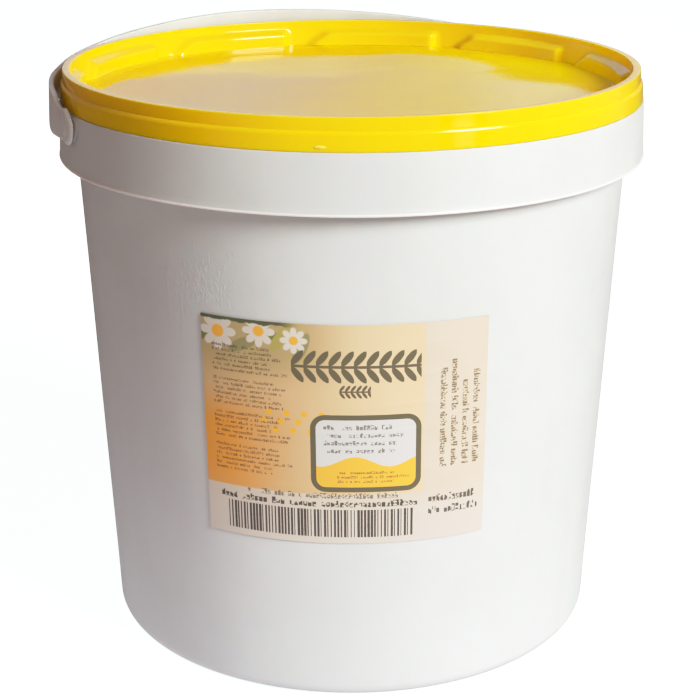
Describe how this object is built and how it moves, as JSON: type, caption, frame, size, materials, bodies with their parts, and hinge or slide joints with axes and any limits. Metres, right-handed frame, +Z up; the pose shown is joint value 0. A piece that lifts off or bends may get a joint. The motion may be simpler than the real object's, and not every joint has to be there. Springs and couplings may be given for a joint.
{
  "type": "lidded plastic food pail",
  "caption": "Round white plastic food pail with a yellow snap lid, a swinging strap bail and a wrapped front label.",
  "frame": {"origin": "centre of the flat base, on the surface the pail stands on", "axes": "+Z up along the pail's axis, -Y towards the front, where the label is, +X to the right as the label is seen"},
  "size_m": [0.3058, 0.3036, 0.3045],
  "materials": {
    "pail": "satin white, faintly mottled",
    "lid": "glossy yellow",
    "handle": "satin, slightly translucent white",
    "label": "semi-gloss print on coated paper"
  },
  "bodies": {
    "pail": {"pail": "pail", "lid": "lid", "label": "label"},
    "bail": {"handle": "handle"}
  },
  "joints": [
    {"name": "bail_hinge", "type": "hinge", "parent": "pail", "child": "bail", "pos_m": [0, 0, 0.2779], "axis": [0.9063, 0.4226, 0], "range_deg": [-8.5, 171]}
  ]
}
